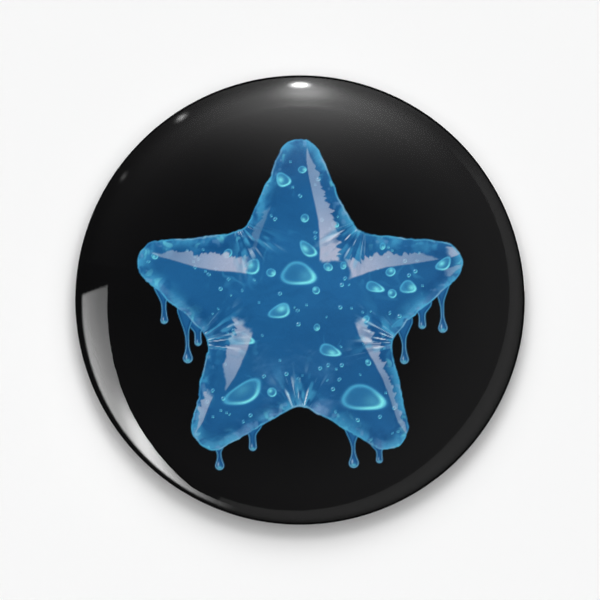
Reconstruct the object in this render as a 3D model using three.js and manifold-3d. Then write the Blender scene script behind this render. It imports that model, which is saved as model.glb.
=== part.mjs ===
// A 58 mm pin-back button badge, upright as it is worn: it faces -Y, +Z is up and its axis is Y.
// Sizes are in millimetres. The middle of the badge's depth is at y = 0.

import Module from 'manifold-3d';
import * as THREE from 'three';
import { mergeVertices } from 'three/addons/utils/BufferGeometryUtils.js';

const wasm = await Module();
wasm.setup();

// The three skins: clear film over printed paper over the tinplate shell.
const BADGE_R = 29;
const FILM_T = 0.12;
const PAPER_T = 0.15;
const TIN_T = 0.25;
const LAYER_GAP = 0.03;

// Their common section, from the middle of the dome to the end of the hem.
const DOME_SLOPE = 10;
const SHOULDER_R = 4.84;
const HEM_OUTER_R = 1.1;
const HEM_FLAT = 0.9;
const HEM_INNER_R = 0.9;
const HEM_TAIL = 0.6;

// The back plate, pressed as a dish with two steps.
const RECESS = 3.25;
const SHELF_RISE = 0.7;
const STEP_R = 21.3;
const PLATE_FILLET_R = 0.8;
const EDGE_R = 0.5;
const EDGE_BELOW_HEM = 0.2;
const EDGE_GAP = 0.06;

// The safety pin. Its fixed leg lies on the swing axis, and its pointed leg hangs below.
const WIRE_R = 0.4;
const WIRE_SIDES = 8;
const AXIS_RISE = 1.4;
const LEG_SPACING = 5.2;
const COIL_X = -15;
const COIL_TURNS = 1.5;
const COIL_PITCH = 0.9;
const BEND_X = -8.5;
const FIXED_END_X = 15.6;
const TIP_X = 16.2;
const POINT_LENGTH = 3.2;
const COIL_TO_LEG = 0.4;

// The straps, lanced out of the plate over the fixed leg.
const STRAP_X = 6;
const STRAP_WIDTH = 3;
const STRAP_CLEARANCE = 0.4;
const STRAP_FOOT_IN = 2;
const STRAP_FOOT_OUT = 3;
const STRAP_SLOT = 2.5;
const STRAP_SINK = 0.05;
const SLOT_HALF_DEPTH = 1;

// The cap on the end of the fixed leg.
const CAP_MOUTH_X = 10.4;
const CAP_END_X = 18;
const CAP_ABOVE_AXIS = 0.9;
const CAP_CORNER_R = 3;
const CAP_WALL = 0.3;
const CAP_EDGE_R = 0.55;
const CUT_BEYOND_MOUTH = 1;
const POCKET_HALF_HEIGHT = 0.85;
const POCKET_SIDE_GAP = 0.3;
const POCKET_TOP_Z = -1.3;
const LIP_FROM_LEG = 0.17;
const CRIMP_R = 0.6;

const SEGMENTS = 48;
const DOME_STEPS = 3;
const SHOULDER_STEPS = 5;
const HEM_STEPS = 2;
const EDGE_STEPS = 4;
const CROWN_STEPS = 6;
const CORNER_STEPS = 6;
const BEVEL_STEPS = 2;
const WIRE_STEPS = 56;

const FINISH = {
  film: { color: '#1c1e21', metalness: 0, roughness: 0.06 },
  print: { color: '#0b0b0c', metalness: 0, roughness: 0.6 },
  shell: { color: '#b9bcc0', metalness: 1, roughness: 0.35 },
  plate: { color: '#c3c5c8', metalness: 1, roughness: 0.3 },
  wire: { color: '#c9cbcf', metalness: 1, roughness: 0.2 },
  cap: { color: '#d3d4d6', metalness: 1, roughness: 0.15 },
};

const rad = THREE.MathUtils.degToRad;
const DOME_R = (BADGE_R - SHOULDER_R * (1 - Math.sin(rad(DOME_SLOPE)))) / Math.sin(rad(DOME_SLOPE));
const SHOULDER_Y = DOME_R + (SHOULDER_R - DOME_R) * Math.cos(rad(DOME_SLOPE));
const DEPTH = SHOULDER_Y + HEM_OUTER_R;
const SKIN_T = FILM_T + LAYER_GAP + PAPER_T + LAYER_GAP + TIN_T;
const FLOOR_Y = DEPTH - RECESS;
const FLOOR_Y_CENTRED = FLOOR_Y - DEPTH / 2;
const PIN_Y = FLOOR_Y_CENTRED + AXIS_RISE;
const PIN_Z = LEG_SPACING / 2;
const COIL_R = LEG_SPACING / 2;
const LEG_START = new THREE.Vector3(COIL_X + COIL_TO_LEG, (COIL_TURNS * COIL_PITCH) / 2, -LEG_SPACING);
const LEG_TIP = new THREE.Vector3(TIP_X, 0, -LEG_SPACING);

// Points of an arc in the section plane, where x is the radius and y the depth from the front.
// Angles turn from 0, facing the front, through 90, facing outward, to 180, facing the back.
function arc(x, y, radius, from, to, steps) {
  const points = [];
  for (let i = 0; i <= steps; i += 1) {
    const angle = rad(from + ((to - from) * i) / steps);
    points.push(new THREE.Vector2(x + radius * Math.sin(angle), y - radius * Math.cos(angle)));
  }
  return points;
}

// Drops each point that repeats the one before it, where an arc meets a line.
function chain(...pieces) {
  return pieces.flat().filter((point, i, all) => i === 0 || point.distanceTo(all[i - 1]) > 1e-6);
}

// Moves an open outline to its right by a distance, with mitred corners. A start on the axis stays on it.
function offset(points, distance) {
  const last = points.length - 1;
  return points.map((point, i) => {
    const onAxis = i === 0 && Math.abs(point.x) < 1e-9;
    const before = i > 0 ? points[i - 1] : new THREE.Vector2(-points[1].x, points[1].y);
    const after = i < last ? points[i + 1] : point.clone().multiplyScalar(2).sub(before);
    const start = onAxis || i > 0 ? before : point.clone().multiplyScalar(2).sub(after);
    const normals = [point.clone().sub(start), after.clone().sub(point)].map((edge) => {
      return new THREE.Vector2(-edge.y, edge.x).normalize();
    });
    const mitre = normals[0].clone().add(normals[1]).normalize();
    return point.clone().addScaledVector(mitre, distance / mitre.dot(normals[0]));
  });
}

// A closed outline of a sheet: its face, and the same face moved by the sheet's thickness.
function sheetOutline(face, thickness) {
  return [...face, ...offset(face, thickness).reverse()];
}

function turned(outline) {
  const closed = Math.abs(outline[0].x) < 1e-9 ? outline : [...outline, outline[0]];
  return new THREE.LatheGeometry(closed, SEGMENTS).translate(0, -DEPTH / 2, 0);
}

// The outer face of the badge, from the middle of the dome round the rim and into the back.
function badgeSection() {
  const hemX = BADGE_R - HEM_OUTER_R;
  const innerX = hemX - HEM_FLAT;
  const innerY = DEPTH - HEM_INNER_R;
  const tail = new THREE.Vector2(innerX - HEM_INNER_R, innerY - HEM_TAIL);
  return chain(
    arc(0, DOME_R, DOME_R, 0, DOME_SLOPE, DOME_STEPS),
    arc(BADGE_R - SHOULDER_R, SHOULDER_Y, SHOULDER_R, DOME_SLOPE, 90, SHOULDER_STEPS),
    arc(hemX, SHOULDER_Y, HEM_OUTER_R, 90, 180, HEM_STEPS),
    arc(innerX, innerY, HEM_INNER_R, 180, 270, HEM_STEPS),
    tail,
  );
}

function skin(depth, thickness, withTail) {
  const section = badgeSection();
  const face = offset(withTail ? section : section.slice(0, -1), depth);
  return turned(sheetOutline(face, thickness));
}

// The rear face of the back plate, from its middle to the free end of its J-shaped edge.
function plateSection() {
  const hemX = BADGE_R - HEM_OUTER_R - HEM_FLAT - HEM_INNER_R;
  const edgeX = hemX - EDGE_GAP - EDGE_R;
  const edgeY = DEPTH - EDGE_BELOW_HEM - EDGE_R;
  const wallX = edgeX - EDGE_R;
  const shelfY = FLOOR_Y + SHELF_RISE;
  return chain(
    new THREE.Vector2(0, FLOOR_Y),
    new THREE.Vector2(STEP_R, FLOOR_Y),
    new THREE.Vector2(STEP_R + SHELF_RISE, shelfY),
    arc(wallX - PLATE_FILLET_R, shelfY + PLATE_FILLET_R, PLATE_FILLET_R, 0, 90, HEM_STEPS),
    arc(edgeX, edgeY, EDGE_R, 270, 90, EDGE_STEPS),
    new THREE.Vector2(edgeX + EDGE_R, edgeY - EDGE_R),
  );
}

function toSolid(geometry) {
  const bare = geometry.clone();
  bare.deleteAttribute('normal');
  bare.deleteAttribute('uv');
  const merged = mergeVertices(bare);
  const corners = merged.index.array;
  const kept = [];
  for (let i = 0; i < corners.length; i += 3) {
    const [a, b, c] = corners.slice(i, i + 3);
    if (a !== b && b !== c && c !== a) {
      kept.push(a, b, c);
    }
  }
  const vertProperties = Float32Array.from(merged.attributes.position.array);
  return new wasm.Manifold(new wasm.Mesh({ numProp: 3, vertProperties, triVerts: Uint32Array.from(kept) }));
}

function toGeometry(solid) {
  const { vertProperties, triVerts } = solid.getMesh();
  const geometry = new THREE.BufferGeometry();
  geometry.setAttribute('position', new THREE.BufferAttribute(vertProperties, 3));
  geometry.setIndex(new THREE.BufferAttribute(triVerts, 1));
  geometry.computeVertexNormals();
  return geometry;
}

// A box between two corners, in the frame of the solid that it cuts.
function block(low, high) {
  const size = high.map((value, i) => value - low[i]);
  return toSolid(
    new THREE.BoxGeometry(...size).translate(...low.map((value, i) => value + size[i] / 2)),
  );
}

// One strap over the fixed leg, bent from a strip and extruded along it.
function strapGeometry() {
  const inner = WIRE_R + STRAP_CLEARANCE;
  const outer = inner + TIN_T;
  const face = chain(
    new THREE.Vector2(-STRAP_FOOT_OUT, -STRAP_SINK),
    new THREE.Vector2(-STRAP_FOOT_IN, -STRAP_SINK),
    arc(0, AXIS_RISE, outer, 270, 90, CROWN_STEPS),
    new THREE.Vector2(STRAP_FOOT_IN, -STRAP_SINK),
    new THREE.Vector2(STRAP_FOOT_OUT, -STRAP_SINK),
  );
  const outline = new THREE.Shape(sheetOutline(face, -TIN_T));
  const strap = new THREE.ExtrudeGeometry(outline, { depth: STRAP_WIDTH, bevelEnabled: false });
  // The outline's x runs down, its y towards the back and its depth along the badge's x.
  const across = new THREE.Matrix4().makeBasis(
    new THREE.Vector3(0, 0, -1),
    new THREE.Vector3(0, 1, 0),
    new THREE.Vector3(1, 0, 0),
  );
  return strap.applyMatrix4(across).translate(-STRAP_WIDTH / 2, 0, 0);
}

function backPlateGeometry() {
  let plate = toSolid(turned(sheetOutline(plateSection(), -TIN_T).reverse()));
  for (const side of [-1, 1]) {
    const x = side * STRAP_X;
    const half = STRAP_WIDTH / 2;
    const slot = block(
      [x - half, FLOOR_Y_CENTRED - SLOT_HALF_DEPTH, PIN_Z - STRAP_SLOT],
      [x + half, FLOOR_Y_CENTRED + SLOT_HALF_DEPTH, PIN_Z + STRAP_SLOT],
    );
    const strap = toSolid(strapGeometry().translate(x, FLOOR_Y_CENTRED, PIN_Z));
    plate = plate.subtract(slot).add(strap);
  }
  return toGeometry(plate);
}

// The pin's own frame has its origin on the swing axis, x along the legs, y towards the back and z up.
// The wire runs from the cap along the fixed leg, bends towards the plate and winds into the coil.
class SpringWire extends THREE.Curve {
  getPoint(t, target = new THREE.Vector3()) {
    const turn = COIL_TURNS * 2 * Math.PI;
    const rise = COIL_TURNS * COIL_PITCH;
    const straight = FIXED_END_X - COIL_X;
    const along = t * (straight + turn * COIL_R);
    if (along < straight) {
      const x = FIXED_END_X - along;
      const bend = THREE.MathUtils.smoothstep(-x, -BEND_X, -COIL_X);
      return target.set(x, (-rise / 2) * bend, 0);
    }
    const angle = (along - straight) / COIL_R;
    return target.set(
      COIL_X - COIL_R * Math.sin(angle),
      rise * (angle / turn - 0.5),
      COIL_R * (Math.cos(angle) - 1),
    );
  }
}

function wireGeometry() {
  const section = new THREE.Shape(arc(0, 0, WIRE_R, 0, 360, WIRE_SIDES).slice(0, -1));
  return new THREE.ExtrudeGeometry(section, {
    steps: WIRE_STEPS,
    bevelEnabled: false,
    extrudePath: new SpringWire(),
  });
}

// The pointed leg, along Y from its start at the coil.
function legGeometry() {
  const length = LEG_START.distanceTo(LEG_TIP);
  const outline = [
    new THREE.Vector2(0, 0),
    new THREE.Vector2(WIRE_R, 0),
    new THREE.Vector2(WIRE_R, length - POINT_LENGTH),
    new THREE.Vector2(0, length),
  ];
  return new THREE.LatheGeometry(outline, WIRE_SIDES);
}

// The cap's outline from its mouth round its closed end, drawn inset by a distance.
function capOutline(mouthX, inset) {
  const centreX = CAP_END_X - CAP_CORNER_R;
  const topZ = CAP_ABOVE_AXIS;
  const bottomZ = -LEG_SPACING - WIRE_R - POCKET_SIDE_GAP - CAP_WALL;
  const radius = CAP_CORNER_R - inset;
  const shape = new THREE.Shape();
  shape.moveTo(mouthX, bottomZ + inset);
  shape.lineTo(centreX, bottomZ + inset);
  shape.absarc(centreX, bottomZ + CAP_CORNER_R, radius, -Math.PI / 2, 0, false);
  shape.absarc(centreX, topZ - CAP_CORNER_R, radius, 0, Math.PI / 2, false);
  shape.lineTo(mouthX, topZ - inset);
  return shape;
}

// Extrudes an outline in x and z to both sides of the pin's plane, with its edges rounded by a bevel.
function slab(shape, halfHeight, bevel) {
  const geometry = new THREE.ExtrudeGeometry(shape, {
    depth: 2 * (halfHeight - bevel),
    curveSegments: CORNER_STEPS,
    bevelEnabled: bevel > 0,
    bevelThickness: bevel,
    bevelSize: bevel,
    bevelOffset: -bevel,
    bevelSegments: BEVEL_STEPS,
  });
  return toSolid(geometry.translate(0, 0, bevel - halfHeight).rotateX(Math.PI / 2));
}

function capGeometry() {
  const halfHeight = POCKET_HALF_HEIGHT + CAP_WALL;
  const beyondMouth = CAP_MOUTH_X - CUT_BEYOND_MOUTH;
  const far = 2 * CAP_END_X;
  const inside = slab(capOutline(beyondMouth, CAP_WALL), 2 * halfHeight, 0);
  const pocket = inside.intersect(
    block([beyondMouth, -POCKET_HALF_HEIGHT, -far], [far, POCKET_HALF_HEIGHT, POCKET_TOP_Z]),
  );
  const lipZ = -LEG_SPACING - LIP_FROM_LEG;
  const slot = inside.intersect(block([beyondMouth, 0, lipZ], [far, 2 * halfHeight, POCKET_TOP_Z]));
  const crimpLength = FIXED_END_X + POCKET_SIDE_GAP - beyondMouth;
  const crimp = new THREE.CylinderGeometry(CRIMP_R, CRIMP_R, crimpLength, WIRE_SIDES);
  const bore = toSolid(crimp.rotateZ(Math.PI / 2).translate(beyondMouth + crimpLength / 2, 0, 0));
  const body = slab(capOutline(CAP_MOUTH_X, 0), halfHeight, CAP_EDGE_R);
  return toGeometry(body.subtract(pocket).subtract(slot).subtract(bore));
}

function part(name, geometry, finish) {
  const mesh = new THREE.Mesh(geometry, new THREE.MeshStandardMaterial(finish));
  mesh.name = name;
  return mesh;
}

const paperDepth = FILM_T + LAYER_GAP;
const shellDepth = SKIN_T - TIN_T;
const badge = new THREE.Group();
badge.add(part('film_cover', skin(0, FILM_T, true), FINISH.film));
badge.add(part('print_disc', skin(paperDepth, PAPER_T, true), FINISH.print));
badge.add(part('front_shell', skin(shellDepth, TIN_T, false), FINISH.shell));
badge.add(part('back_plate', backPlateGeometry(), FINISH.plate));

const leg = part('pin_leg', legGeometry(), FINISH.wire);
leg.position.copy(LEG_START);
leg.quaternion.setFromUnitVectors(new THREE.Vector3(0, 1, 0), LEG_TIP.clone().sub(LEG_START).normalize());

const pin = new THREE.Group();
pin.position.set(0, PIN_Y, PIN_Z);
pin.add(part('pin_wire', wireGeometry(), FINISH.wire));
pin.add(leg);
pin.add(part('pin_cap', capGeometry(), FINISH.cap));
badge.add(pin);

export default badge;
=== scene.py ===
"""A 58 mm pin-back button badge: film, print, tinplate and safety pin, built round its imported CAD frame."""
import math

import bmesh
import bpy
import numpy as np
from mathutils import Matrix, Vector


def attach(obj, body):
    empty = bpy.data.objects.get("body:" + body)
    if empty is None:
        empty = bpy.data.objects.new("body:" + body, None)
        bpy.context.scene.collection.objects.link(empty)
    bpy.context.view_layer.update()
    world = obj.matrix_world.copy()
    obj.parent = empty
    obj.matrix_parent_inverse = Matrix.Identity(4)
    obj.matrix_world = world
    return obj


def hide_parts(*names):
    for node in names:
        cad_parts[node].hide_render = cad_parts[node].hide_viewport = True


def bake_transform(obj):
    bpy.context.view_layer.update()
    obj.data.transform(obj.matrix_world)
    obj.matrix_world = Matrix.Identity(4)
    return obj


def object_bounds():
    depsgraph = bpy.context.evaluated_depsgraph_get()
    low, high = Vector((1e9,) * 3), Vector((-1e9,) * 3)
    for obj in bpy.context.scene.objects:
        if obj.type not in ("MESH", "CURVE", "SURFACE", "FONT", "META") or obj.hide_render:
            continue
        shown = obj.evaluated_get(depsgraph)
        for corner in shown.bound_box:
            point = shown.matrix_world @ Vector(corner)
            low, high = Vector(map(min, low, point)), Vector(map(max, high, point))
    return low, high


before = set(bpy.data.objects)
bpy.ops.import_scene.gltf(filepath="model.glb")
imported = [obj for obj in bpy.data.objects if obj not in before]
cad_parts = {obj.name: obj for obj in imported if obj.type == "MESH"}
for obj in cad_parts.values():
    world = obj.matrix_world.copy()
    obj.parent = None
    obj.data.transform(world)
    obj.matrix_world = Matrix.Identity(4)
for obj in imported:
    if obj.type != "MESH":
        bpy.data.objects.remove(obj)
cad_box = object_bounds()

MM = 0.001

# ---------------- sizes, in mm, as in the CAD source

BADGE_R = cad_box[1].x / MM
DEPTH = (cad_box[1].y - cad_box[0].y) / MM
FILM_T, PAPER_T, TIN_T, LAYER_GAP = 0.12, 0.15, 0.25, 0.03
DOME_SLOPE, SHOULDER_R = 10.0, 4.84
HEM_OUTER_R, HEM_FLAT, HEM_INNER_R, HEM_TAIL = 1.1, 0.9, 0.9, 0.6
RECESS, SHELF_RISE, STEP_R = 3.25, 0.7, 21.3
EDGE_R, EDGE_BELOW_HEM, EDGE_GAP, PLATE_FILLET_R = 0.5, 0.2, 0.06, 0.8
WIRE_R, AXIS_RISE, LEG_SPACING = 0.4, 1.4, 5.2
COIL_X, COIL_TURNS, COIL_PITCH, BEND_X = -15.0, 1.5, 0.9, -8.5
FIXED_END_X, TIP_X, POINT_LENGTH = 15.6, 16.2, 3.2
STRAP_X, STRAP_WIDTH, STRAP_CLEARANCE = 6.0, 3.0, 0.4
STRAP_FOOT_IN, STRAP_FOOT_OUT, STRAP_SLOT = 2.0, 3.0, 2.5
CAP_MOUTH_X, CAP_END_X, CAP_ABOVE_AXIS, CAP_CORNER_R = 10.4, 18.0, 0.9, 3.0
CAP_WALL, POCKET_HALF_HEIGHT, POCKET_SIDE_GAP, POCKET_TOP_Z = 0.3, 0.85, 0.3, -1.3
CAP_EDGE_R, LIP_FROM_LEG = 0.55, 0.17

SHOULDER_X = BADGE_R - SHOULDER_R
DOME_R = (SHOULDER_X + SHOULDER_R * math.sin(math.radians(DOME_SLOPE))) / math.sin(math.radians(DOME_SLOPE))
SHOULDER_Y = DOME_R + (SHOULDER_R - DOME_R) * math.cos(math.radians(DOME_SLOPE))
FLOOR_Y = DEPTH - RECESS
COIL_R = LEG_SPACING / 2
PIN_ORIGIN = Vector((0.0, FLOOR_Y - DEPTH / 2 + AXIS_RISE, LEG_SPACING / 2))
HALF_DEPTH = DEPTH / 2

# How finely the round shapes are drawn: steps along each outline, and sides round an axis.
SEGMENTS, WIRE_SIDES = 288, 24
DOME_STEPS, SHOULDER_STEPS, RIM_STEPS, HEM_STEPS = 24, 28, 12, 10
FILLET_STEPS, EDGE_STEPS, CROWN_STEPS, CORNER_STEPS = 8, 16, 20, 14
FIXED_POINTS, COIL_POINTS, LEG_POINTS = 90, 150, 150

# Details that only the visual model has: bends in the sheet, broken edges and the cap's two grooves.
STEP_BEND_R, STRAP_BEND_R, STRAP_SINK, BROKEN_EDGE = 0.35, 0.45, 0.01, 0.05
POCKET_EDGE_R, CRIMP_GAP = 0.35, 0.02
GROOVE_R, GROOVE_RISE, GROOVE_Z = 0.26, 0.12, -0.95
TO_CUT_THROUGH, CUT_BEYOND_MOUTH, FAR_OUTSIDE = 1.0, 1.0, 40.0  # how far cutting tools reach past a piece


# ---------------- meshes

def smooth(value, low, high):
    """A smooth step from 0 at low to 1 at high, for a number or a field. Low may be above high."""
    t = np.clip((value - low) / (high - low), 0, 1)
    return t * t * (3 - 2 * t)


def arc(x, y, radius, start, end, steps):
    """Points of an arc in the section plane. 0 degrees faces the front, 90 outward and 180 the back."""
    angles = np.radians(np.linspace(start, end, steps + 1))
    return [(x + radius * math.sin(a), y - radius * math.cos(a)) for a in angles]


def chain(*pieces):
    """Joins outlines, without the points that repeat the one before."""
    points = [p for piece in pieces for p in piece]
    return [p for i, p in enumerate(points) if i == 0 or math.dist(p, points[i - 1]) > 1e-6]


def make(name, points, faces, material, sharp=40.0):
    """A smooth-shaded mesh object from points in millimetres, with creases sharper than an angle."""
    mesh = bpy.data.meshes.new(name)
    mesh.from_pydata([Vector(p) * MM for p in points], [], faces)
    mesh.validate()
    mesh.shade_smooth()
    mesh.set_sharp_from_angle(angle=math.radians(sharp))
    mesh.materials.append(material)
    obj = bpy.data.objects.new(name, mesh)
    bpy.context.collection.objects.link(obj)
    return obj


def lathe_mesh(outline, segments=SEGMENTS):
    """Turns an outline of radius and depth about the badge's axis. A point on the axis stays one point."""
    rings, points = [], []
    for radius, depth in outline:
        count = 1 if radius < 1e-6 else segments
        rings.append(list(range(len(points), len(points) + count)))
        for i in range(count):
            a = 2 * math.pi * i / segments
            points.append((radius * math.sin(a), depth - HALF_DEPTH, radius * math.cos(a)))
    faces = []
    for a, b in zip(rings, rings[1:]):
        for i in range(segments):
            j = (i + 1) % segments
            quad = [a[i % len(a)], a[j % len(a)], b[j % len(b)], b[i % len(b)]]
            faces.append(list(dict.fromkeys(quad)))
    return points, [f for f in faces if len(f) > 2]


def badge_section(inset, tail=True):
    """The badge's outer face moved inward, from the middle of the dome round the rim into the back."""
    hem_x, inner_x = BADGE_R - HEM_OUTER_R, BADGE_R - HEM_OUTER_R - HEM_FLAT
    inner_y = DEPTH - HEM_INNER_R
    end = [(inner_x - HEM_INNER_R + inset, inner_y - HEM_TAIL)] if tail else []
    return chain(
        arc(0, DOME_R, DOME_R - inset, 0, DOME_SLOPE, DOME_STEPS),
        arc(SHOULDER_X, SHOULDER_Y, SHOULDER_R - inset, DOME_SLOPE, 90, SHOULDER_STEPS),
        arc(hem_x, SHOULDER_Y, HEM_OUTER_R - inset, 90, 180, RIM_STEPS),
        arc(inner_x, inner_y, HEM_INNER_R - inset, 180, 270, HEM_STEPS),
        end,
    )


def skin(name, inset, thickness, material, tail=True):
    """One closed layer of the badge's front, some way under its outer face."""
    outline = badge_section(inset, tail) + badge_section(inset + thickness, tail)[::-1]
    return make(name, *lathe_mesh(outline), material)


# ---------------- materials

class Graph:
    """A material's nodes, made one call at a time. An input is a value or another node's socket."""

    def __init__(self, name):
        self.material = bpy.data.materials.new(name)
        self.material.use_nodes = True
        self.tree = self.material.node_tree
        self.tree.nodes.clear()

    def node(self, kind, inputs=None, **settings):
        """One shader node, with its inputs and its settings."""
        made = self.tree.nodes.new("ShaderNode" + kind)
        for key, value in settings.items():
            setattr(made, key, value)
        for key, value in (inputs or {}).items():
            if isinstance(value, bpy.types.NodeSocket):
                self.tree.links.new(value, made.inputs[key])
            else:
                made.inputs[key].default_value = value
        return made

    def place(self, stretch=(1, 1, 1), turn=(0, 0, 0)):
        """Object coordinates, scaled and turned."""
        where = self.node("TexCoord").outputs["Object"]
        turned = tuple(math.radians(t) for t in turn)
        return self.node("Mapping", {"Vector": where, "Scale": stretch, "Rotation": turned}).outputs[0]

    def noise(self, scale, where, detail=3.0, roughness=0.5):
        """Noise from 0 to 1, at a scale in features to the metre."""
        inputs = {"Vector": where, "Scale": scale, "Detail": detail, "Roughness": roughness}
        return self.node("TexNoise", inputs).outputs["Fac"]

    def span(self, value, low, high, out_low, out_high):
        """Maps a range of a value on to another, clamped."""
        inputs = {"Value": value, "From Min": low, "From Max": high, "To Min": out_low, "To Max": out_high}
        return self.node("MapRange", inputs).outputs[0]

    def math(self, operation, a, b=0.0, c=0.0):
        """Arithmetic on two or three values."""
        return self.node("Math", {0: a, 1: b, 2: c}, operation=operation).outputs[0]

    def mix(self, factor, a, b, blend_type="MIX"):
        """A mix of two colours."""
        made = self.node("Mix", data_type="RGBA", blend_type=blend_type)
        for key, value in ((0, factor), (6, a), (7, b)):
            if isinstance(value, bpy.types.NodeSocket):
                self.tree.links.new(value, made.inputs[key])
            else:
                made.inputs[key].default_value = value if key == 0 else (*value, 1)
        return made.outputs[2]

    def bump(self, height, distance, strength=1.0):
        """A normal, tilted by a height from 0 to 1 that stands for a distance in metres."""
        return self.node("Bump", {"Height": height, "Distance": distance, "Strength": strength}).outputs[0]

    def finish(self, shader):
        """Sends a shader to the output."""
        self.node("OutputMaterial", {"Surface": shader})
        return self.material

    def finish_metal(self, colour, roughness, normal):
        """Sends a metal to the output."""
        inputs = {"Base Color": colour, "Metallic": 1.0, "Roughness": roughness, "Normal": normal}
        return self.finish(self.node("BsdfPrincipled", inputs).outputs[0])


FILM_INDEX = 1.57


def film_material():
    """Clear polyester film, which shows what is under it and mirrors the room by angle. It is so thin that
    light passes it from below as it does from above, so its index is inverted on the back of its face."""
    g = Graph("clear_film")
    behind = g.node("NewGeometry").outputs["Backfacing"]
    index = g.math("POWER", FILM_INDEX, g.math("MULTIPLY_ADD", behind, -2.0, 1.0))
    clear = g.node("BsdfTransparent", {"Color": (1, 1, 1, 1)}).outputs[0]
    gloss = g.node("BsdfGlossy", {"Color": (1, 1, 1, 1), "Roughness": 0.02}).outputs[0]
    share = g.node("Fresnel", {"IOR": index}).outputs[0]
    return g.finish(g.node("MixShader", {0: share, 1: clear, 2: gloss}).outputs[0])


def ink_material(name, colour):
    """Matt ink on coated paper, under the film. Colour is one colour, or the attribute that holds it."""
    g = Graph(name)
    where = g.place()
    grain = g.span(g.noise(9000, where, 2.0), 0.3, 0.7, 0.93, 1.05)
    mottle = g.span(g.noise(260, where, 3.0), 0.3, 0.7, 0.95, 1.05)
    shade = g.node("CombineColor", {i: g.math("MULTIPLY", grain, mottle) for i in range(3)}).outputs[0]
    if isinstance(colour, str):
        colour = g.node("Attribute", attribute_name=colour).outputs["Color"]
    fibre = g.bump(g.noise(5200, where, 4.0), 0.004 * MM, 0.6)
    inputs = {
        "Base Color": g.mix(1.0, colour, shade, "MULTIPLY"),
        "Roughness": g.span(mottle, 0.95, 1.05, 0.5, 0.62),
        "Specular IOR Level": 0.0,
        "Normal": fibre,
    }
    return g.finish(g.node("BsdfPrincipled", inputs).outputs[0])


def rolled_metal(name, colour, roughness, grain):
    """Sheet with fine rolling lines along X, smears from handling, spangle and a few scratches."""
    g = Graph(name)
    where = g.place()
    lines = g.noise(1.0, g.place((70, 1500, 4200)), 4.0, 0.6)
    fine = g.noise(1.0, g.place((420, 9000, 26000)), 2.0, 0.5)
    smear = g.noise(85, where, 4.0, 0.6)
    spangle = g.node("TexVoronoi", {"Vector": where, "Scale": 420.0}, feature="F1").outputs["Color"]
    spangled = g.span(spangle, 0.0, 1.0, -0.025, 0.025)
    worn = g.span(g.noise(38, where, 3.0), 0.5, 0.75, 0.0, 1.0)
    cells = {"Vector": g.place((60, 3000, 900), (0, 31, 0)), "Scale": 1.0}
    scratch = g.node("TexVoronoi", cells, feature="DISTANCE_TO_EDGE").outputs["Distance"]
    thin = g.math("MULTIPLY", g.span(scratch, 0.0, 0.025, 1.0, 0.0), worn)
    dull = tuple(c * 0.88 for c in colour)
    warm = (colour[0] * 0.96, colour[1] * 0.93, colour[2] * 0.87)
    base = g.mix(g.span(smear, 0.4, 0.7, 0.0, 1.0), colour, dull)
    base = g.mix(g.math("MULTIPLY", worn, 0.5), base, warm)
    rough = g.span(lines, 0.3, 0.7, roughness - 0.04, roughness + 0.05)
    rough = g.math("ADD", rough, g.span(smear, 0.42, 0.75, 0.0, 0.09))
    rough = g.math("ADD", rough, spangled)
    rough = g.math("ADD", rough, g.math("MULTIPLY", thin, 0.05))
    relief = g.math("ADD", g.math("MULTIPLY", lines, 0.55), g.math("MULTIPLY", fine, 0.45))
    relief = g.math("SUBTRACT", relief, g.math("MULTIPLY", thin, 0.06))
    return g.finish_metal(base, rough, g.bump(relief, grain * MM, 0.6))


def plated_metal(name, colour, roughness, grain):
    """Bright nickel plate over drawn wire or folded sheet: soft pitting, smears and a little tarnish."""
    g = Graph(name)
    where = g.place()
    drawn = g.noise(1.0, g.place((120, 5200, 5200)), 4.0, 0.6)
    pits = g.noise(2600, where, 3.0, 0.55)
    smear = g.noise(240, where, 4.0, 0.6)
    tarnish = g.span(g.noise(120, where, 3.0), 0.52, 0.72, 0.0, 0.55)
    base = g.mix(tarnish, colour, (colour[0] * 0.86, colour[1] * 0.81, colour[2] * 0.72))
    rough = g.span(smear, 0.35, 0.7, roughness - 0.04, roughness + 0.08)
    rough = g.math("ADD", rough, g.span(pits, 0.55, 0.75, 0.0, 0.12))
    relief = g.math("ADD", g.math("MULTIPLY", drawn, 0.5), g.math("MULTIPLY", pits, 0.5))
    return g.finish_metal(base, rough, g.bump(relief, grain * MM, 0.7))


# ---------------- the three skins

PRINT_BLACK = (0.0036, 0.0036, 0.0039)
film = film_material()
ink = ink_material("ink_black", PRINT_BLACK)
tinplate = rolled_metal("tinplate", (0.74, 0.745, 0.75), 0.27, 0.0016)
tinplate_inside = rolled_metal("tinplate_inside", (0.6, 0.605, 0.61), 0.36, 0.002)
nickel_wire = plated_metal("nickel_wire", (0.74, 0.73, 0.70), 0.16, 0.003)
nickel_sheet = plated_metal("nickel_sheet", (0.76, 0.75, 0.72), 0.2, 0.004)


def stands_for(piece, body, slot, *nodes):
    """Gives a piece its body and hides the CAD nodes that it takes the place of. The slot is not used."""
    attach(piece, body)
    if nodes:
        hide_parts(*nodes)


print_inset = LAYER_GAP  # the film is drawn as its outer face alone, so the print lies right under it
shell_inset = FILM_T + LAYER_GAP + PAPER_T + LAYER_GAP
film_cover = make("film", *lathe_mesh(badge_section(0)), film)
print_disc = skin("print", print_inset, PAPER_T, ink)
front_shell = skin("shell", shell_inset, TIN_T, tinplate_inside, tail=False)
stands_for(film_cover, "badge", "film", "film_cover")
stands_for(print_disc, "badge", "print", "print_disc")
stands_for(front_shell, "badge", "tinplate_shell", "front_shell")


# ---------------- the printed picture: a star of blue gel

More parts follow.
